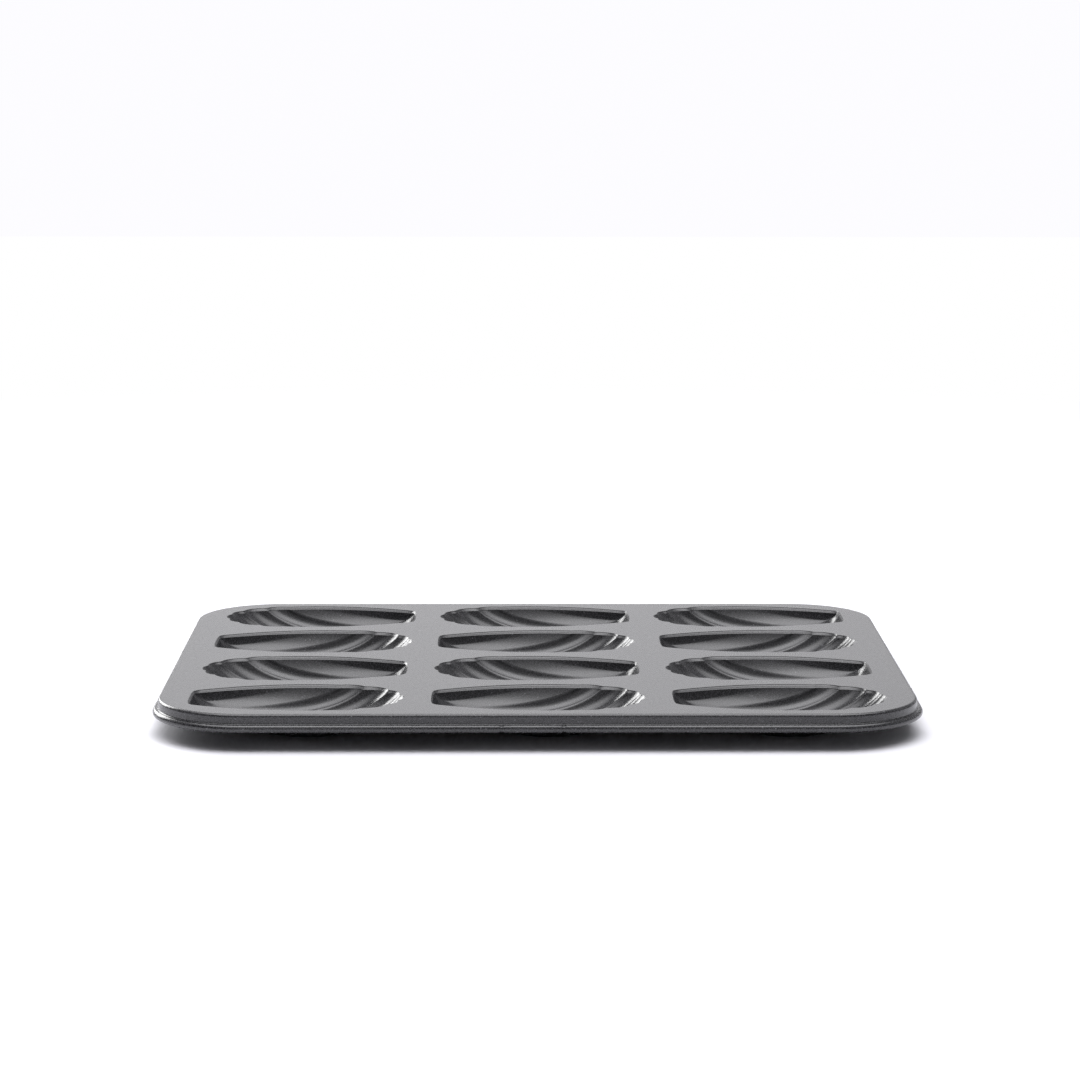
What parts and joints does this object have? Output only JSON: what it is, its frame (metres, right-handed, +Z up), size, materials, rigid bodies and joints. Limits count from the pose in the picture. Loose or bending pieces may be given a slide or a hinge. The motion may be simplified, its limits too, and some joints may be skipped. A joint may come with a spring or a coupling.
{
  "type": "madeleine pan",
  "caption": "Pressed steel baking pan with rows of fluted shell-shaped cups that alternate in direction, and a rolled edge over a rim wire.",
  "frame": {"origin": "middle of the pan's outline, on the table plane that the cups' bottoms rest on", "axes": "+X along the pan's long side and along the cups, +Y across the rows towards the back row, +Z up, out of the cups"},
  "size_m": [0.3304, 0.26, 0.0157],
  "materials": {
    "coated_sheet": "dark grey non-stick coating with a fine grain, semi-gloss",
    "rim_wire": "bare drawn steel wire, closed inside the rolled edge"
  },
  "bodies": {
    "root": {"deck": "coated_sheet", "rolled_rim": "coated_sheet", "rim_wire": "rim_wire", "cup_row1_left": "coated_sheet", "cup_row1_middle": "coated_sheet", "cup_row1_right": "coated_sheet", "cup_row2_left": "coated_sheet", "cup_row2_middle": "coated_sheet", "cup_row2_right": "coated_sheet", "cup_row3_left": "coated_sheet", "cup_row3_middle": "coated_sheet", "cup_row3_right": "coated_sheet", "cup_row4_left": "coated_sheet", "cup_row4_middle": "coated_sheet", "cup_row4_right": "coated_sheet"}
  },
  "joints": []
}
